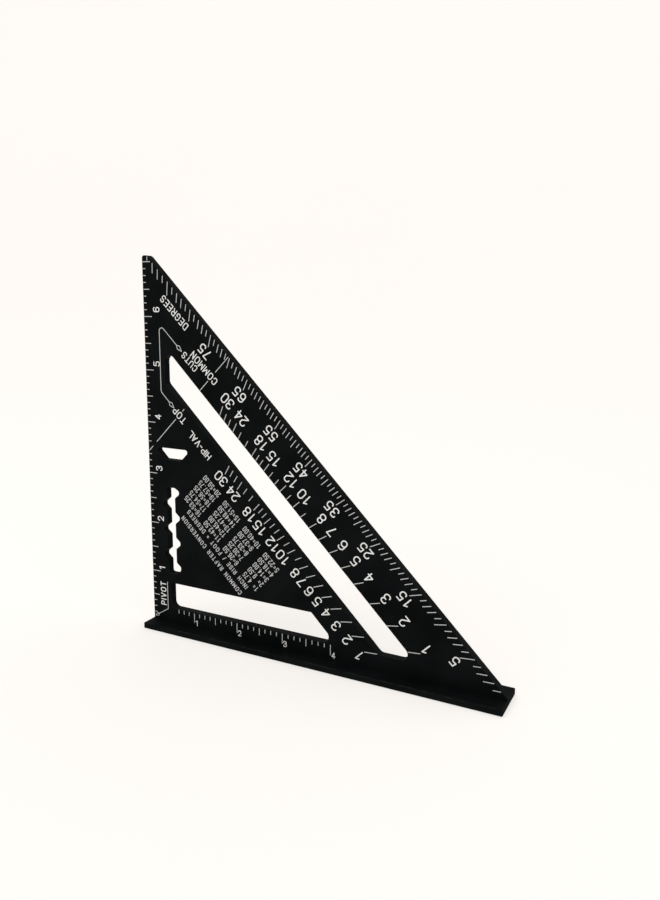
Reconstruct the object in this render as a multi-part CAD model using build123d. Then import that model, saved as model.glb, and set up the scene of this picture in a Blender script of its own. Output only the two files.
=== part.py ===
"""Speed square: a triangular aluminium blade standing on a flat fence, with white printed scales.

Every printed mark is laid out on the blade's printed face, in coordinates that start at the
pivot, the corner where the guide edge meets the fence: first along the fence, then up the edge.
The model's own frame has its origin in the middle of the fence's underside, +X along the fence
away from the pivot, +Y from the printed face to the plain face and +Z up the guide edge.
All sizes are in millimetres.
"""
import os
from functools import lru_cache
from math import atan, atan2, cos, degrees, hypot, pi, radians, sin, sqrt, tan

from build123d import *

INCH = 25.4
DIAGONAL = sqrt(2)

# Blade
LEG = 183.8                      # from the pivot corner to where each leg meets the hypotenuse
BLADE_THICKNESS = 4.0
TIP_HEIGHT = 180.8               # the sharp upper tip is cut off level here
TIP_RADIUS = 3.2
TIP_EDGE_RADIUS = 1.2            # where the cut meets the guide edge
EDGE_BREAK = 0.15                # small bevel round every edge of both faces

# Fence
FENCE_LENGTH = 183.2             # the blade's sharp lower tip is cut off square here
FENCE_WIDTH = 21.0
FENCE_THICKNESS = 3.0
GROOVE_DEPTH = 1.0               # the blade's foot sits this deep in the fence
FENCE_EDGE_BREAK = 0.3

# Long slot beside the hypotenuse, given by x + z on its two edges
SLOT_WIDTH = 12.5
SLOT_OUTER = 150.2
SLOT_INNER = SLOT_OUTER - SLOT_WIDTH * DIAGONAL
SLOT_LEFT = 11.5
SLOT_RADIUS = 3.0

# Rule window above the fence
WINDOW_BOTTOM = 7.05             # the long slot ends at this height too
WINDOW_TOP = 20.3
WINDOW_LEFT = 11.3
WINDOW_SLANT = 111.8             # x + z on its slanting right side
WINDOW_RADIUS = 3.0
WINDOW_TOP_RADIUS = 0.8

# Small trapezoid window
NOTCH_CENTRE = 14.45
NOTCH_TOP = 89.35
NOTCH_BOTTOM = 83.6
NOTCH_TOP_WIDTH = 21.5
NOTCH_RADIUS = 1.25

# Scribing slot: a strip with pencil rests that alternate from side to side
SCRIBE_LEFT = 10.25
SCRIBE_RIGHT = 15.25
SCRIBE_BOTTOM = 25.3
SCRIBE_TOP = 69.7
SCRIBE_FIRST_REST = 28.6
SCRIBE_REST_PITCH = 6.48
SCRIBE_RESTS = 7
SCRIBE_REST_DEPTH = 2.5
SCRIBE_REST_HALF = 2.95
SCRIBE_TIP_HALF = 0.8
SCRIBE_RADIUS = 1.0

# Printed marks
INK = 0.08                       # thickness of the white print
TICK = 0.34                      # width of a graduation line
LINE = 0.36                      # width of a guide line
EDGE_GAP = 0.35                  # marks stop this far short of a bevelled edge

PIVOT_X = -FENCE_LENGTH / 2
FRONT_Y = -BLADE_THICKNESS / 2
OUTWARD = (0, 0, 1)              # out of the printed face, in the face's own plane
INWARD = (0, 0, -1)
FACE = Plane(origin=(PIVOT_X, FRONT_Y, FENCE_THICKNESS), x_dir=(1, 0, 0), z_dir=(0, -1, 0))

READ_UP = 90                     # text along the guide edge, read from the fence upwards
READ_DIAGONAL = 135              # text along the hypotenuse, its top towards the pivot

# ---------------------------------------------------------------------------------------------
# Lettering: each glyph is a few strokes of a round pen. A stroke is a list of (x, y, radius)
# corners in units of the letter height, and a stroke in CLOSED form joins its ends.

CLOSED = "closed"
MIDDLE_SHARE = 0.49              # of a run between two round corners, how much each may use
END_SHARE = 0.95                 # of a stroke's first or last run

GLYPHS = {
    "0": (0.58, [[CLOSED, (0, 0, .29), (.58, 0, .29), (.58, 1, .29), (0, 1, .29)]]),
    "1": (0.58, [[(.08, .78, 0), (.36, 1, 0), (.36, 0, 0)]]),
    "2": (0.58, [[(0, .72, 0), (0, 1, .27), (.56, 1, .28), (.56, .55, .2), (0, 0, 0), (.58, 0, 0)]]),
    "3": (0.58, [[(0, .8, 0), (0, 1, .2), (.55, 1, .22), (.55, .53, .22), (.24, .53, 0)],
                 [(.24, .53, 0), (.58, .53, .24), (.58, 0, .26), (0, 0, .28), (0, .22, 0)]]),
    "4": (0.62, [[(.45, 0, 0), (.45, 1, 0)],
                 [(.45, 1, 0), (0, .29, 0), (.62, .29, 0)]]),
    "5": (0.58, [[(.54, 1, 0), (.07, 1, 0), (.03, .57, 0)],
                 [(.03, .57, 0), (.58, .68, .28), (.58, 0, .29), (0, 0, .28), (0, .2, 0)]]),
    "6": (0.58, [[CLOSED, (0, 0, .28), (.58, 0, .28), (.58, .6, .28), (0, .6, .28)],
                 [(0, .3, 0), (0, 1, .28), (.56, 1, .2), (.56, .84, 0)]]),
    "7": (0.58, [[(0, 1, 0), (.56, 1, 0), (.18, 0, 0)]]),
    "8": (0.58, [[CLOSED, (0, 0, .26), (.58, 0, .26), (.58, .54, .26), (0, .54, .26)],
                 [CLOSED, (.04, .54, .22), (.54, .54, .22), (.54, 1, .22), (.04, 1, .22)]]),
    "9": (0.58, [[CLOSED, (0, .4, .28), (.58, .4, .28), (.58, 1, .28), (0, 1, .28)],
                 [(.58, .7, 0), (.58, 0, .28), (.02, 0, .2), (.02, .16, 0)]]),
    "A": (0.66, [[(0, 0, 0), (.33, 1, 0), (.66, 0, 0)], [(.12, .34, 0), (.54, .34, 0)]]),
    "C": (0.60, [[(.58, .74, 0), (.58, 1, .28), (0, 1, .28), (0, 0, .28), (.58, 0, .28), (.58, .26, 0)]]),
    "D": (0.60, [[CLOSED, (0, 0, 0), (.6, 0, .3), (.6, 1, .3), (0, 1, 0)]]),
    "E": (0.52, [[(.52, 1, 0), (0, 1, 0), (0, 0, 0), (.52, 0, 0)], [(0, .52, 0), (.46, .52, 0)]]),
    "F": (0.52, [[(.52, 1, 0), (0, 1, 0), (0, 0, 0)], [(0, .52, 0), (.46, .52, 0)]]),
    "G": (0.62, [[(.6, .76, 0), (.6, 1, .28), (0, 1, .28), (0, 0, .28), (.6, 0, .28), (.6, .46, 0),
                  (.36, .46, 0)]]),
    "H": (0.58, [[(0, 0, 0), (0, 1, 0)], [(.58, 0, 0), (.58, 1, 0)], [(0, .52, 0), (.58, .52, 0)]]),
    "I": (0.00, [[(0, 0, 0), (0, 1, 0)]]),
    "L": (0.50, [[(0, 1, 0), (0, 0, 0), (.5, 0, 0)]]),
    "M": (0.74, [[(0, 0, 0), (0, 1, 0), (.37, .25, 0), (.74, 1, 0), (.74, 0, 0)]]),
    "N": (0.60, [[(0, 0, 0), (0, 1, 0), (.6, 0, 0), (.6, 1, 0)]]),
    "O": (0.64, [[CLOSED, (0, 0, .31), (.64, 0, .31), (.64, 1, .31), (0, 1, .31)]]),
    "P": (0.56, [[(0, 0, 0), (0, 1, 0)],
                 [(0, 1, 0), (.56, 1, .26), (.56, .45, .26), (0, .45, 0)]]),
    "R": (0.58, [[(0, 0, 0), (0, 1, 0)],
                 [(0, 1, 0), (.56, 1, .26), (.56, .45, .26), (0, .45, 0)],
                 [(.28, .45, 0), (.58, 0, 0)]]),
    "S": (0.58, [[(.55, .8, 0), (.55, 1, .22), (.01, 1, .25), (.01, .53, .22), (.57, .53, .22),
                  (.57, 0, .26), (0, 0, .26), (0, .2, 0)]]),
    "T": (0.60, [[(0, 1, 0), (.6, 1, 0)], [(.3, 1, 0), (.3, 0, 0)]]),
    "U": (0.58, [[(0, 1, 0), (0, 0, .29), (.58, 0, .29), (.58, 1, 0)]]),
    "V": (0.64, [[(0, 1, 0), (.32, 0, 0), (.64, 1, 0)]]),
    "/": (0.36, [[(0, 0, 0), (.36, 1, 0)]]),
    "-": (0.34, [[(0, .42, 0), (.34, .42, 0)]]),
    "=": (0.46, [[(0, .36, 0), (.46, .36, 0)], [(0, .66, 0), (.46, .66, 0)]]),
    ".": (0.05, [[(0, 0, 0), (.05, 0, 0)]]),
    " ": (0.34, []),
}


class Pen:
    """A size of lettering: overall letter height, stroke width, width scale and letter spacing."""

    def __init__(self, height, stroke, narrow=1.0, spacing=0.0):
        self.stroke = stroke
        self.rise = height - stroke
        self.run = self.rise * narrow
        self.spacing = spacing


def round_path(corners, closed=False):
    """A polyline with round corners. A radius is cut to what the runs on both sides allow."""
    points = [Vector(x, y) for x, y, _ in corners]
    if len(points) == 2:
        return Wire([Edge.make_line(*points)])
    count = len(points)
    radii = []
    for i in range(count) if closed else range(1, count - 1):
        before = points[i] - points[i - 1]
        after = points[(i + 1) % count] - points[i]
        share_before = END_SHARE if not closed and i == 1 else MIDDLE_SHARE
        share_after = END_SHARE if not closed and i == count - 2 else MIDDLE_SHARE
        room = min(before.length * share_before, after.length * share_after)
        radii.append(min(corners[i][2], room / tan(radians(before.get_angle(after)) / 2)))
    return FilletPolyline(*points, radius=radii, close=closed).wire()


def stroke_face(corners, width, closed=False):
    """The outline that a round pen of the given width draws along a polyline with round corners."""
    path = round_path(corners, closed)
    if closed:
        return Face(path.offset_2d(width / 2), [path.offset_2d(-width / 2)])
    return Face(path.offset_2d(width / 2))


@lru_cache(maxsize=None)
def glyph(letter, pen):
    """One letter as a thin solid, its centre line starting at x = 0 on the base line."""
    faces = []
    for stroke in GLYPHS[letter][1]:
        closed = stroke[0] == CLOSED
        corners = [(x * pen.run, y * pen.rise, r * pen.run) for x, y, r in stroke[closed:]]
        faces.append(stroke_face(corners, pen.stroke, closed))
    outline = faces[0].fuse(*faces[1:]).clean() if len(faces) > 1 else faces[0]
    return extrude(outline, amount=INK, dir=OUTWARD)


def write(text, pen, x, z, turn=0.0, align=0.5, fit=None):
    """Letters round the point (x, z). align 0, 0.5 or 1 puts their left, middle or right there,
    and fit, where given, is the overall length that the letter spacing is chosen for."""
    widths = sum(GLYPHS[c][0] for c in text) * pen.run
    spacing = pen.spacing if fit is None else (fit - pen.stroke - widths) / (len(text) - 1)
    length = widths + spacing * (len(text) - 1)
    place = Pos(x, z) * Rot(0, 0, turn)
    along = -align * length
    letters = []
    for c in text:
        if c != " ":
            letters.append(place * Pos(along, -pen.rise / 2) * glyph(c, pen))
        along += GLYPHS[c][0] * pen.run + spacing
    return letters


# ---------------------------------------------------------------------------------------------
# Lines

def line(x0, z0, x1, z1, width=TICK):
    """A graduation or guide line with square ends."""
    length = hypot(x1 - x0, z1 - z0)
    turn = degrees(atan2(z1 - z0, x1 - x0))
    bar = Box(length, width, INK, align=(Align.MIN, Align.CENTER, Align.MIN))
    return Pos(x0, z0) * Rot(0, 0, turn) * bar


def diagonal(u, w):
    """The face point u along the hypotenuse's direction and w out from the pivot towards it."""
    return (w - u) / DIAGONAL, (w + u) / DIAGONAL


def radial_line(angle, w0, w1):
    """A line that points at the pivot, between two distances out towards the hypotenuse."""
    slope = tan(angle - pi / 4)
    return line(*diagonal(w0 * slope, w0), *diagonal(w1 * slope, w1))


def pen_line(corners, width=LINE):
    """A guide line with round corners, from (x, z, radius) corners."""
    return extrude(stroke_face(corners, width), amount=INK, dir=OUTWARD)


def arrowhead(tip, back_angle, length, half_width, width=0.34):
    """A hollow kite whose tip is at the given point and whose tail lies in the given direction."""
    c, s = cos(radians(back_angle)), sin(radians(back_angle))
    waist = 0.62 * length
    kite = [(0, 0), (waist, half_width), (length, 0), (waist, -half_width)]
    corners = [(tip[0] + a * c - b * s, tip[1] + a * s + b * c, 0) for a, b in kite]
    return extrude(stroke_face(corners, width, closed=True), amount=INK, dir=OUTWARD)


# ---------------------------------------------------------------------------------------------
# Metal

def corner_face(corners):
    """A flat face inside a closed polyline with round corners, from (x, z, radius) corners."""
    points = [(x, z) for x, z, _ in corners]
    return Face(FilletPolyline(*points, radius=[r for _, _, r in corners], close=True).wire())


def long_slot():
    low, left, r = WINDOW_BOTTOM, SLOT_LEFT, SLOT_RADIUS
    return corner_face([(SLOT_INNER - low, low, r), (SLOT_OUTER - low, low, r),
                        (left, SLOT_OUTER - left, r), (left, SLOT_INNER - left, r)])


def rule_window():
    low, high, left, r = WINDOW_BOTTOM, WINDOW_TOP, WINDOW_LEFT, WINDOW_RADIUS
    return corner_face([(left, low, r), (WINDOW_SLANT - low, low, r),
                        (WINDOW_SLANT - high, high, WINDOW_TOP_RADIUS), (left, high, WINDOW_TOP_RADIUS)])


def notch_window():
    half_top = NOTCH_TOP_WIDTH / 2
    half_bottom = half_top - (NOTCH_TOP - NOTCH_BOTTOM)
    return corner_face([(NOTCH_CENTRE - half_bottom, NOTCH_BOTTOM, NOTCH_RADIUS),
                        (NOTCH_CENTRE + half_bottom, NOTCH_BOTTOM, NOTCH_RADIUS),
                        (NOTCH_CENTRE + half_top, NOTCH_TOP, NOTCH_RADIUS),
                        (NOTCH_CENTRE - half_top, NOTCH_TOP, NOTCH_RADIUS)])


def scribing_slot():
    """Corners run up the right side and down the left side, with a rest at each pitch. The first
    and the last rest run into the slot's ends."""
    sides = {1: [], -1: []}
    for i in range(SCRIBE_RESTS):
        side, wall = (1, SCRIBE_RIGHT) if i % 2 == 0 else (-1, SCRIBE_LEFT)
        centre = SCRIBE_FIRST_REST + i * SCRIBE_REST_PITCH
        tip = wall + side * SCRIBE_REST_DEPTH
        sides[side] += [(wall, centre - SCRIBE_REST_HALF, 0.5),
                        (tip, centre - SCRIBE_TIP_HALF, SCRIBE_RADIUS),
                        (tip, centre + SCRIBE_TIP_HALF, SCRIBE_RADIUS),
                        (wall, centre + SCRIBE_REST_HALF, 0.5)]
    right = [(SCRIBE_RIGHT, SCRIBE_BOTTOM, 0.5)] + sides[1][1:-1] + [(SCRIBE_RIGHT, SCRIBE_TOP, 0.5)]
    left = [(SCRIBE_LEFT, SCRIBE_TOP, 0.5)] + sides[-1][::-1] + [(SCRIBE_LEFT, SCRIBE_BOTTOM, 1.2)]
    return corner_face(right + left)


def through_blade(face):
    return extrude(face, amount=BLADE_THICKNESS, dir=INWARD)


def blade():
    """The plate above the fence, bevelled on both faces, and the square foot that the groove holds."""
    outline = corner_face([(0, 0, 0), (FENCE_LENGTH, 0, 0), (FENCE_LENGTH, LEG - FENCE_LENGTH, 0),
                           (LEG - TIP_HEIGHT, TIP_HEIGHT, TIP_RADIUS), (0, TIP_HEIGHT, TIP_EDGE_RADIUS)])
    plate = through_blade(outline)
    for opening in (long_slot(), rule_window(), notch_window(), scribing_slot()):
        plate -= through_blade(opening)
    rims = plate.faces().filter_by(Axis.Z).edges().filter_by(lambda edge: edge.center().Y > EDGE_BREAK)
    foot = Box(FENCE_LENGTH, GROOVE_DEPTH, BLADE_THICKNESS, align=(Align.MIN, Align.MAX, Align.MAX))
    return chamfer(rims, EDGE_BREAK) + foot


def fence():
    bar = Pos(0, 0, FENCE_THICKNESS / 2) * Box(FENCE_LENGTH, FENCE_WIDTH, FENCE_THICKNESS)
    bar = chamfer(bar.edges(), FENCE_EDGE_BREAK)
    groove = Pos(0, 0, FENCE_THICKNESS - GROOVE_DEPTH) * Box(
        FENCE_LENGTH, BLADE_THICKNESS, 2 * GROOVE_DEPTH, align=(Align.CENTER, Align.CENTER, Align.MIN))
    return bar - groove


# ---------------------------------------------------------------------------------------------
# Inch scales

EDGE_INCHES = 7
EDGE_TICKS = {1: 2.0, 4: 3.9, 8: 4.9}            # where eighth, half and inch ticks end, in x
MISSING_EDGE_TICK = 28                           # the leader line takes the place of this eighth's tick
EDGE_PEN = Pen(3.8, 0.47)
EDGE_NUMERALS = ((6.1, 2.1), (6.2, 2.35), (6.3, 2.6),  # each numeral's x and its lift above its tick
                 (6.65, 2.8), (6.85, 3.1), (7.7, 3.3))

RULE_FIRST_EIGHTH = 5
RULE_LAST_EIGHTH = 32
RULE_TICKS = {1: 4.8, 4: 3.2, 8: 1.7}            # where the ticks end, in z
RULE_PEN = Pen(3.0, 0.4)
RULE_NUMERAL = (1.5, 1.8)                        # numeral's middle from its tick's x, and its z


def tick_class(eighths):
    return 8 if eighths % 8 == 0 else 4 if eighths % 4 == 0 else 1


def edge_inch_ticks():
    """Eighths of an inch up the guide edge, from the fence's upper face."""
    return [line(EDGE_GAP, i * INCH / 8, EDGE_TICKS[tick_class(i)], i * INCH / 8)
            for i in range(1, EDGE_INCHES * 8 + 1) if i != MISSING_EDGE_TICK]


def edge_inch_numerals():
    marks = []
    for inch, (x, lift) in enumerate(EDGE_NUMERALS, start=1):
        marks += write(str(inch), EDGE_PEN, x, inch * INCH + lift, READ_UP)
    return marks


def rule_inch_ticks():
    """Eighths of an inch from the guide edge, hanging from the rule window's lower side."""
    top = WINDOW_BOTTOM - EDGE_GAP
    return [line(i * INCH / 8, top, i * INCH / 8, RULE_TICKS[tick_class(i)])
            for i in range(RULE_FIRST_EIGHTH, RULE_LAST_EIGHTH + 1)]


def rule_inch_numerals():
    shift, z = RULE_NUMERAL
    marks = []
    for inch in range(1, RULE_LAST_EIGHTH // 8 + 1):
        marks += write(str(inch), RULE_PEN, inch * INCH + shift, z)
    return marks


# ---------------------------------------------------------------------------------------------
# Angle scales. Distances out from the pivot towards the hypotenuse are measured square to it.

HYPOTENUSE_OUT = LEG / DIAGONAL
DEGREE_OUTER = HYPOTENUSE_OUT - EDGE_GAP
DEGREE_INNER = {0: 125.2, 5: 124.7, 1: 127.1, 2: 126.2}  # tens, fives, one off and two off a five
LAST_DEGREE_INNER = 128.3        # the last degree's line starts above the last inch line
DEGREE_PEN = Pen(4.95, 0.57, spacing=1.45)
DEGREE_NUMERALS_OUT = 121.7
DEGREE_NUMERALS = range(5, 76, 10)

COMMON_RUN = 12                  # a common rafter's rise is per 12 of run
HIP_RUN = 17                     # a hip or valley rafter's is per 17
PRINTED_HIGH = {9: 37.0, 10: 40.0, 15: 51.5}     # pitches given above their nearest quarter degree
RISES = list(range(1, 19)) + list(range(20, 31, 2))
NUMBERED_RISES = (1, 2, 3, 4, 5, 6, 7, 8, 10, 12, 15, 18, 24, 30)
RAFTER_PEN = Pen(5.2, 0.57, spacing=1.1)

COMMON_INNER = SLOT_OUTER / DIAGONAL + EDGE_GAP
COMMON_OUTER = {True: 110.9, False: 109.8}       # numbered and plain ticks
COMMON_NUMERALS_OUT = 114.6
HIP_OUTER = SLOT_INNER / DIAGONAL - EDGE_GAP
HIP_INNER = {True: 88.7, False: 89.9}
HIP_NUMERALS_OUT = 85.35


def common_pitch(rise):
    """A common rafter's slope in degrees, as the table prints it and the scale draws it."""
    return PRINTED_HIGH.get(rise, round(degrees(atan(rise / COMMON_RUN)) * 4) / 4)


def hip_pitch(rise):
    """A hip or valley rafter's slope in degrees, drawn exactly."""
    return degrees(atan(rise / HIP_RUN))


def degree_ticks():
    """One line for each degree between the fence and the guide edge, pointing at the pivot."""
    marks = []
    for degree in range(1, 90):
        last = degree % 10
        inner = DEGREE_INNER[last if last in (0, 5) else 1 if last in (1, 4, 6, 9) else 2]
        if degree == 89:
            inner = LAST_DEGREE_INNER
        marks.append(radial_line(radians(degree), inner, DEGREE_OUTER))
    return marks


def degree_numerals():
    marks = []
    for degree in DEGREE_NUMERALS:
        u = DEGREE_INNER[5] * tan(radians(degree) - pi / 4)
        marks += write(str(degree), DEGREE_PEN, *diagonal(u, DEGREE_NUMERALS_OUT), READ_DIAGONAL)
    return marks


def rafter_ticks(pitch, numbered_end, plain_end, edge):
    """A line at the pitch of each rise in inches."""
    marks = []
    for rise in RISES:
        end = numbered_end if rise in NUMBERED_RISES else plain_end
        marks.append(radial_line(radians(pitch(rise)), min(edge, end), max(edge, end)))
    return marks


def rafter_numerals(pitch, tick_end, out):
    marks = []
    for rise in NUMBERED_RISES:
        u = tick_end * tan(radians(pitch(rise)) - pi / 4)
        marks += write(str(rise), RAFTER_PEN, *diagonal(u, out), READ_DIAGONAL)
    return marks


# ---------------------------------------------------------------------------------------------
# Legends and guide lines

LEADER_ALONG = 61.3              # a broken line square to the hypotenuse, through TOP and COMMON
LEADER_RUNS = ((62.0, 65.6), (68.9, 85.9), (91.6, 93.2), (106.7, 113.2), (119.2, 129.5))
LEGEND_PEN = Pen(3.65, 0.46)
CUTS_PEN = Pen(3.35, 0.42)
TOP_PEN = Pen(3.7, 0.44)
PIVOT_PEN = Pen(3.5, 0.46)

GUIDE_X = 9.05                   # the guide line's upright run
TOP_LINE = 125.9                 # x + z along its run beside TOP
CUTS_LINE = 158.4                # x + z along its run beside CUTS
ARROW_LENGTH = 4.0
ARROW_HALF = 0.95


def legend(text, pen, along, out, length):
    """A word beside the hypotenuse, its middle at the given place along and out."""
    return write(text, pen, *diagonal(along, out), READ_DIAGONAL, fit=length)


def cuts_guide():
    """From an arrow at TOP, round the end of the long slot, to an arrow at CUTS."""
    top_tip, top_tail, cuts_tip, cuts_tail = 16.5, 13.7, 21.9, 19.1
    corners = [(top_tail, TOP_LINE - top_tail, 0), (GUIDE_X, TOP_LINE - GUIDE_X, 2.0),
               (GUIDE_X, CUTS_LINE - GUIDE_X, 1.5), (cuts_tail, CUTS_LINE - cuts_tail, 0)]
    route = pen_line(corners)
    heads = [arrowhead((top_tip, TOP_LINE - top_tip), 135, ARROW_LENGTH, ARROW_HALF),
             arrowhead((cuts_tip, CUTS_LINE - cuts_tip), 135, ARROW_LENGTH, ARROW_HALF)]
    return [route.fuse(*heads).clean()]


def leader_line():
    return [line(*diagonal(LEADER_ALONG, a), *diagonal(LEADER_ALONG, b), width=LINE)
            for a, b in LEADER_RUNS]


def pivot_pointer():
    """A bent line beside the word PIVOT whose arrow points at the pivot corner."""
    tip, bend, top = (0.9, 0.95), (GUIDE_X, 6.0), 20.2
    angle = degrees(atan2(bend[1] - tip[1], bend[0] - tip[0]))
    length = 3.0
    tail = (tip[0] + 0.7 * length * cos(radians(angle)), tip[1] + 0.7 * length * sin(radians(angle)))
    route = pen_line([(*tail, 0), (*bend, 0.8), (GUIDE_X, top, 0)])
    return [route.fuse(arrowhead(tip, angle, length, 0.7)).clean()]


# ---------------------------------------------------------------------------------------------
# Conversion table: inches of rise per foot against degrees, in quarters of a degree

TITLE_PEN = Pen(2.55, 0.33, narrow=0.83)
TABLE_PEN = Pen(2.95, 0.33, narrow=0.61, spacing=0.72)
TITLE_LINES = (("COMMON RAFTER CONVERSION", 53.4), ("INCH RISE / FOOT = DEGREES", 58.4))
TITLE_MIDDLE = 1.8
TITLE_LENGTH = 47.4
TABLE_ROWS = 5
TABLE_COLUMNS = 4
TABLE_FIRST_OUT = 62.4
TABLE_ROW_PITCH = 4.0
TABLE_FIRST_RIGHT = -15.85       # right end of the first column
TABLE_COLUMN_PITCH = 15.65
RISE_RIGHT = -9.1                # right end of the rise, from the column's right end
EQUALS_MIDDLE = -7.9


def conversion_title():
    marks = []
    for text, out in TITLE_LINES:
        marks += legend(text, TITLE_PEN, TITLE_MIDDLE, out, TITLE_LENGTH)
    return marks


def conversion_table():
    marks = []
    for i in range(TABLE_ROWS * TABLE_COLUMNS):
        rise = i + 1
        right = TABLE_FIRST_RIGHT + (i // TABLE_ROWS) * TABLE_COLUMN_PITCH
        out = TABLE_FIRST_OUT + (i % TABLE_ROWS) * TABLE_ROW_PITCH
        for text, along, align in ((str(rise), right + RISE_RIGHT, 1), ("=", right + EQUALS_MIDDLE, 0.5),
                                   (f"{common_pitch(rise):.2f}", right, 1)):
            marks += write(text, TABLE_PEN, *diagonal(along, out), READ_DIAGONAL, align)
    return marks


# ---------------------------------------------------------------------------------------------
# Nodes

METAL = {
    "blade": FACE * blade(),
    "fence": fence(),
}

PRINT = {
    "edge_inch_ticks": edge_inch_ticks(),
    "edge_inch_numerals": edge_inch_numerals(),
    "rule_inch_ticks": rule_inch_ticks(),
    "rule_inch_numerals": rule_inch_numerals(),
    "degree_ticks": degree_ticks(),
    "degree_numerals": degree_numerals(),
    "degrees_legend": legend("DEGREES", LEGEND_PEN, 96.3, 122.1, 20.0),
    "common_ticks": rafter_ticks(common_pitch, COMMON_OUTER[True], COMMON_OUTER[False], COMMON_INNER),
    "common_numerals": rafter_numerals(common_pitch, COMMON_OUTER[True], COMMON_NUMERALS_OUT),
    "common_legend": legend("COMMON", LEGEND_PEN, 67.0, 115.8, 18.8),
    "hip_val_ticks": rafter_ticks(hip_pitch, HIP_INNER[True], HIP_INNER[False], HIP_OUTER),
    "hip_val_numerals": rafter_numerals(hip_pitch, HIP_INNER[True], HIP_NUMERALS_OUT),
    "hip_val_legend": legend("HIP-VAL", LEGEND_PEN, 43.45, 87.4, 16.1),
    "top_legend": legend("TOP", TOP_PEN, 61.05, 88.85, 8.6),
    "cuts_legend": legend("CUTS", CUTS_PEN, 74.6, 111.9, 10.5),
    "cuts_guide_line": cuts_guide(),
    "top_leader_line": leader_line(),
    "pivot_legend": write("PIVOT", PIVOT_PEN, 6.45, 13.9, READ_UP, fit=12.4),
    "pivot_pointer": pivot_pointer(),
    "conversion_title": conversion_title(),
    "conversion_table": conversion_table(),
}

os.makedirs("parts", exist_ok=True)
for name, solid in METAL.items():
    export_step(solid, f"parts/{name}.step")
for name, marks in PRINT.items():
    export_step(FACE * Compound([s for mark in marks for s in mark.solids()]), f"parts/{name}.step")
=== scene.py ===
"""A speed square on a pale studio floor: black anodised aluminium with white printed scales.

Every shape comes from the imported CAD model. This script adds the materials, floor, light and camera.
All sizes are in metres, in the model's own frame: +X along the fence, +Y from the printed face of the
blade to its plain face, +Z up the guide edge.
"""

from math import cos, radians, sin

import bpy
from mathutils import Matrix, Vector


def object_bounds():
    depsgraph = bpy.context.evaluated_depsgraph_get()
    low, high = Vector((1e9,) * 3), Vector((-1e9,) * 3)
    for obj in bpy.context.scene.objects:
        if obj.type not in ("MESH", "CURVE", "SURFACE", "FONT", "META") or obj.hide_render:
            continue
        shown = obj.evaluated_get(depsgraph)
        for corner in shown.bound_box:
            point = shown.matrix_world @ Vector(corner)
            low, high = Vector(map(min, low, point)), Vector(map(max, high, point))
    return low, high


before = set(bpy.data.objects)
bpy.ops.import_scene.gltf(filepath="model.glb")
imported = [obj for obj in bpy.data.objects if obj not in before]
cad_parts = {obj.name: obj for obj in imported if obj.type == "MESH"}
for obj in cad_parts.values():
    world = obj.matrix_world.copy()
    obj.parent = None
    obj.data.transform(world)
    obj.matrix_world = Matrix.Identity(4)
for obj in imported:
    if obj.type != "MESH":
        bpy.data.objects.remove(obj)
CAD_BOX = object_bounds()

MM = 0.001
NOISE_LOW, NOISE_HIGH = 0.3, 0.7                 # nearly all of a noise's values lie between these

# Camera
CAMERA_PLACE = (0.15648, -0.29284, 0.16210)
CAMERA_TURN = (79.189, -0.487, 26.998)           # degrees about X, Y and Z
LENS = 30.633                                    # mm, for a sensor 36 mm on the image's long side

# Metal
ANODISED_DEEP = (0.0018, 0.0023, 0.0025)
ANODISED_PALE = (0.0062, 0.0078, 0.0084)
BARE_EDGE = (0.018, 0.0195, 0.020)               # where the colour is rubbed thin along a bevel
METAL_GLOSS = 0.02                               # specular level: the finish is matte
SMOOTHEST, ROUGHEST = 0.56, 0.68                 # roughness, from a handled patch to a clean one
SAWN_ROUGHNESS = 0.3                             # added on the ends, which are sawn and not drawn
WORN_POLISH = 0.12                               # taken off where a bevel is worn
CLOUD_SIZE = 22 * MM                             # broad, faint changes of tone
CLOUD_SHARE, GRAIN_SHARE = 0.55, 0.35            # how much each moves the tone from deep to pale
SMEAR_SIZE = 14 * MM
WEAR_SIZE = 5 * MM
BLAST_GRAIN = 0.16 * MM                          # size of the matte surface's grain
GRAIN_HEIGHT = 0.012 * MM
GRAIN_ROUGHNESS = 0.04                           # added on the grain's peaks, taken off in its pits
DRAW_PITCH = 0.35 * MM                           # spacing of the fine lines left by the extrusion die
DRAW_HEIGHT = 0.006 * MM
DRAW_STRETCH = (0.02, 1, 1)                      # die lines are long along the fence

# Print
PIT_SIZE = 0.13 * MM
PIT_HEIGHT = 0.01 * MM
FADE_SIZE = 9 * MM                               # patches where the print has faded
PRINT_GLOSS = 0.3
PRINT_WHITE = (0.82, 0.83, 0.82)
PRINT_THIN = (0.48, 0.49, 0.49)                  # where the white is laid thin and the metal shows
FINE_WHITE = (0.54, 0.55, 0.55)                  # fine lines and small text carry less white
FINE_THIN = (0.32, 0.33, 0.33)
FINE_NODES = ("edge_inch_ticks", "rule_inch_ticks", "degree_ticks", "common_ticks", "hip_val_ticks",
              "cuts_guide_line", "top_leader_line", "pivot_pointer", "conversion_title", "conversion_table")

# Studio: a floor that curves up into a wall behind the object
FLOOR_WIDTH = 12.0
FLOOR_FRONT = -5.0
WALL_START = 2.2                                 # where the floor starts to curve up
WALL_RADIUS = 1.5
WALL_TOP = 6.0
CURVE_STEPS = 24
FLOOR_COLOUR = (0.46, 0.445, 0.445)
FLOOR_GLOW = 0.61                                # a lit table, which keeps the shadows weak
FLOOR_ROUGHNESS = 0.9
FLOOR_DEEPER = 0.985                             # how far the floor's faint clouds darken it
FLOOR_CLOUD_SIZE = 0.9
FLOOR_GAP = 0.05 * MM                            # keeps the floor just clear of the fence
SKY_COLOUR = (1.0, 0.975, 0.935)
SKY_STRENGTH = 0.80
LIGHT_AIM = (0, 0, 0.08)


# ---------------------------------------------------------------------------------------------
# Node helpers

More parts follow.
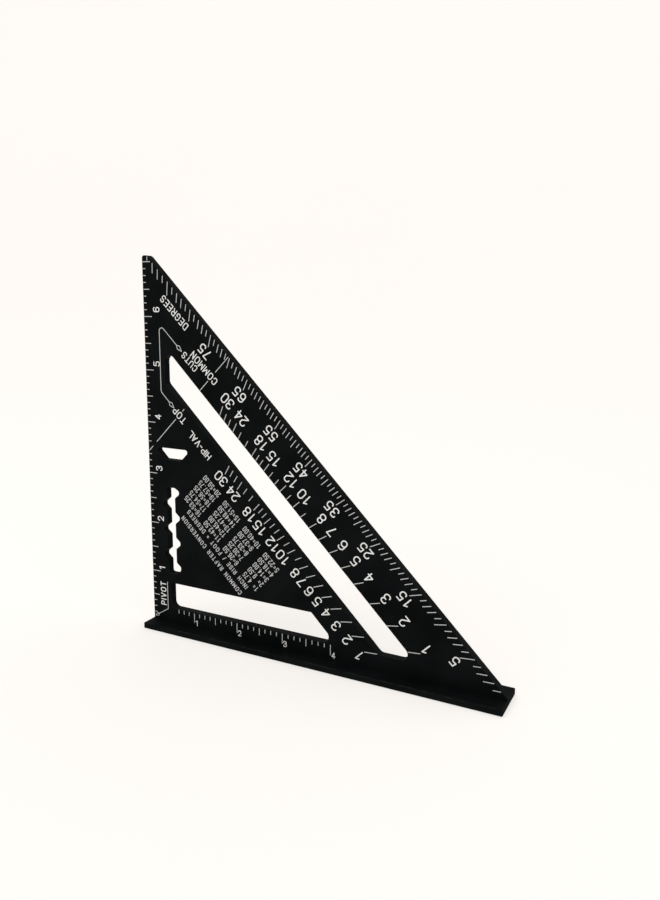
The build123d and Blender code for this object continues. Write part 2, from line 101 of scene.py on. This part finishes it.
class Nodes:
    """A material's node tree, with short calls that add a node and link its inputs."""

    def __init__(self, name):
        self.material = bpy.data.materials.new(name)
        self.material.use_nodes = True
        self.tree = self.material.node_tree
        self.shader = next(n for n in self.tree.nodes if n.type == "BSDF_PRINCIPLED")

    def add(self, kind, inputs=None, **settings):
        node = self.tree.nodes.new(kind)
        for key, value in settings.items():
            setattr(node, key, value)
        for key, value in (inputs or {}).items():
            self.feed(node.inputs[key], value)
        return node

    def feed(self, socket, value):
        if isinstance(value, bpy.types.NodeSocket):
            self.tree.links.new(value, socket)
        else:
            socket.default_value = value

    def maths(self, operation, a, b=0.0, clamp=False):
        node = self.add("ShaderNodeMath", {0: a, 1: b}, operation=operation, use_clamp=clamp)
        return node.outputs[0]

    def place(self, scale=(1, 1, 1)):
        """The point in the model's frame, scaled along each axis."""
        coordinates = self.add("ShaderNodeTexCoord")
        stretch = self.add("ShaderNodeMapping", {"Vector": coordinates.outputs["Object"], "Scale": scale})
        return stretch.outputs["Vector"]

    def noise(self, size, detail=3.0, roughness=0.5, stretch=(1, 1, 1)):
        """Noise whose features are about the given size."""
        node = self.add("ShaderNodeTexNoise", {"Vector": self.place(stretch), "Scale": 1 / size,
                                               "Detail": detail, "Roughness": roughness})
        return node.outputs["Fac"]

    def spread(self, value, low=NOISE_LOW, high=NOISE_HIGH, to_low=0.0, to_high=1.0):
        """The value's range from low to high, stretched to a new range and held inside it."""
        node = self.add("ShaderNodeMapRange", {"Value": value, "From Min": low, "From Max": high,
                                               "To Min": to_low, "To Max": to_high})
        return node.outputs["Result"]

    def blend(self, share, a, b):
        node = self.add("ShaderNodeMix", data_type="RGBA")
        self.feed(node.inputs["Factor"], share)
        for socket, colour in (("A_Color", a), ("B_Color", b)):
            target = next(s for s in node.inputs if s.identifier == socket)
            self.feed(target, colour if isinstance(colour, bpy.types.NodeSocket) else (*colour, 1.0))
        return next(s for s in node.outputs if s.identifier == "Result_Color")

    def bump(self, height, distance, strength=1.0, under=None):
        inputs = {"Height": height, "Distance": distance, "Strength": strength}
        if under is not None:
            inputs["Normal"] = under
        return self.add("ShaderNodeBump", inputs).outputs["Normal"]


def facing(nodes, axis):
    """How squarely a face looks along the axis, from 0 to 1."""
    normal = nodes.add("ShaderNodeNewGeometry").outputs["True Normal"]
    return nodes.maths("ABSOLUTE", nodes.add("ShaderNodeSeparateXYZ", {"Vector": normal}).outputs[axis])


def bevel_mask(nodes):
    """1 on the faces that slope out of the blade's plane, which are the bevels, and 0 elsewhere."""
    squareness = facing(nodes, "Y")
    off_the_edges = nodes.maths("GREATER_THAN", squareness, 0.3)
    off_the_faces = nodes.maths("LESS_THAN", squareness, 0.95)
    return nodes.maths("MULTIPLY", off_the_edges, off_the_faces)


# ---------------------------------------------------------------------------------------------
# Materials

def anodised(name):
    """Matte black anodised aluminium with faint die lines, rubbed thin along its bevels."""
    nodes = Nodes(name)
    clouds = nodes.spread(nodes.noise(CLOUD_SIZE, detail=2), 0.35, 0.68)
    grain = nodes.noise(BLAST_GRAIN, detail=2, roughness=0.6)
    lines = nodes.noise(DRAW_PITCH, detail=2, stretch=DRAW_STRETCH)
    mottle = nodes.maths("MULTIPLY", nodes.spread(grain), GRAIN_SHARE)
    tone = nodes.maths("ADD", nodes.maths("MULTIPLY", clouds, CLOUD_SHARE), mottle, clamp=True)
    colour = nodes.blend(tone, ANODISED_DEEP, ANODISED_PALE)

    rubbed = nodes.spread(nodes.noise(WEAR_SIZE, detail=4, roughness=0.65), 0.42, 0.72)
    wear = nodes.maths("MULTIPLY", bevel_mask(nodes), rubbed)
    nodes.feed(nodes.shader.inputs["Base Color"], nodes.blend(wear, colour, BARE_EDGE))

    smear = nodes.spread(nodes.noise(SMEAR_SIZE, detail=3), to_low=SMOOTHEST, to_high=ROUGHEST)
    sawn = nodes.spread(facing(nodes, "X"), 0.9, 0.95, 0.0, SAWN_ROUGHNESS)
    speckle = nodes.spread(grain, to_low=-GRAIN_ROUGHNESS, to_high=GRAIN_ROUGHNESS)
    rough = nodes.maths("ADD", nodes.maths("ADD", smear, sawn), speckle)
    polish = nodes.maths("MULTIPLY", wear, WORN_POLISH)
    nodes.feed(nodes.shader.inputs["Roughness"], nodes.maths("SUBTRACT", rough, polish))
    nodes.shader.inputs["Metallic"].default_value = 0.0
    nodes.shader.inputs["Specular IOR Level"].default_value = METAL_GLOSS

    drawn = nodes.bump(lines, DRAW_HEIGHT, 0.35)
    nodes.feed(nodes.shader.inputs["Normal"], nodes.bump(grain, GRAIN_HEIGHT, 0.5, under=drawn))
    return nodes.material


def white_print(name, full, thin):
    """White print on blasted metal: it is thin and broken where the grain stands high."""
    nodes = Nodes(name)
    pits = nodes.noise(PIT_SIZE, detail=3, roughness=0.6)
    fade = nodes.noise(FADE_SIZE, detail=2)
    worn = nodes.spread(nodes.maths("ADD", pits, nodes.maths("MULTIPLY", fade, 0.5)), 0.74, 1.02)
    nodes.feed(nodes.shader.inputs["Base Color"], nodes.blend(worn, full, thin))
    nodes.feed(nodes.shader.inputs["Roughness"], nodes.spread(pits, to_low=0.55, to_high=0.75))
    nodes.shader.inputs["Specular IOR Level"].default_value = PRINT_GLOSS
    nodes.feed(nodes.shader.inputs["Normal"], nodes.bump(pits, PIT_HEIGHT, 0.4))
    return nodes.material


def floor_finish():
    """Pale, faintly uneven and glowing a little."""
    nodes = Nodes("studio_floor")
    cloud = nodes.spread(nodes.noise(FLOOR_CLOUD_SIZE, detail=2))
    slightly_deeper = tuple(FLOOR_DEEPER * c for c in FLOOR_COLOUR)
    nodes.feed(nodes.shader.inputs["Base Color"], nodes.blend(cloud, FLOOR_COLOUR, slightly_deeper))
    nodes.shader.inputs["Roughness"].default_value = FLOOR_ROUGHNESS
    nodes.shader.inputs["Specular IOR Level"].default_value = 0.0
    nodes.shader.inputs["Emission Color"].default_value = (*SKY_COLOUR, 1.0)
    nodes.shader.inputs["Emission Strength"].default_value = FLOOR_GLOW
    return nodes.material


def paint(obj, material):
    obj.data.materials.clear()
    obj.data.materials.append(material)


def paint_model():
    metal = {"blade": anodised("black_anodised_blade"), "fence": anodised("black_anodised_fence")}
    numerals = white_print("white_print_lettering", PRINT_WHITE, PRINT_THIN)
    fine = white_print("white_print_fine", FINE_WHITE, FINE_THIN)
    for name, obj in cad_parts.items():
        paint(obj, metal.get(name) or (fine if name in FINE_NODES else numerals))


# ---------------------------------------------------------------------------------------------
# Studio

def floor():
    """A strip along X whose section runs from the front, along the floor and up the wall."""
    turns = [radians(90 * i / CURVE_STEPS) for i in range(CURVE_STEPS + 1)]
    section = [(FLOOR_FRONT, 0.0)]
    section += [(WALL_START + WALL_RADIUS * sin(t), WALL_RADIUS * (1 - cos(t))) for t in turns]
    section.append((WALL_START + WALL_RADIUS, WALL_TOP))
    half = FLOOR_WIDTH / 2
    points = [(x, y, z) for y, z in section for x in (-half, half)]
    faces = [(i, i + 1, i + 3, i + 2) for i in range(0, len(points) - 2, 2)]
    mesh = bpy.data.meshes.new("floor")
    mesh.from_pydata(points, [], faces)
    mesh.polygons.foreach_set("use_smooth", [True] * len(faces))
    mesh.materials.append(floor_finish())
    obj = bpy.data.objects.new("floor", mesh)
    bpy.context.scene.collection.objects.link(obj)
    obj.location.z = CAD_BOX[0].z - FLOOR_GAP


def sky():
    world = bpy.data.worlds.new("studio")
    world.use_nodes = True
    background = world.node_tree.nodes["Background"]
    background.inputs["Color"].default_value = (*SKY_COLOUR, 1.0)
    background.inputs["Strength"].default_value = SKY_STRENGTH
    bpy.context.scene.world = world


def softbox(name, place, size, watts):
    """A square area light, turned to LIGHT_AIM."""
    light = bpy.data.lights.new(name, "AREA")
    light.shape, light.size, light.energy = "SQUARE", size, watts
    obj = bpy.data.objects.new(name, light)
    bpy.context.scene.collection.objects.link(obj)
    obj.location = place
    direction = Vector(LIGHT_AIM) - Vector(place)
    obj.rotation_euler = direction.to_track_quat("-Z", "Y").to_euler()


def camera():
    data = bpy.data.cameras.new("camera")
    data.sensor_fit, data.sensor_width, data.lens = "AUTO", 36.0, LENS
    data.clip_start, data.clip_end = 0.01, 60.0
    obj = bpy.data.objects.new("camera", data)
    bpy.context.scene.collection.objects.link(obj)
    obj.location = CAMERA_PLACE
    obj.rotation_euler = [radians(turn) for turn in CAMERA_TURN]
    bpy.context.scene.camera = obj


paint_model()
floor()
sky()
softbox("key", (-0.6, -0.9, 1.3), 1.1, 4)
softbox("fill", (1.2, -0.6, 0.7), 0.9, 0.6)
camera()
bpy.context.scene.view_settings.view_transform = "Standard"
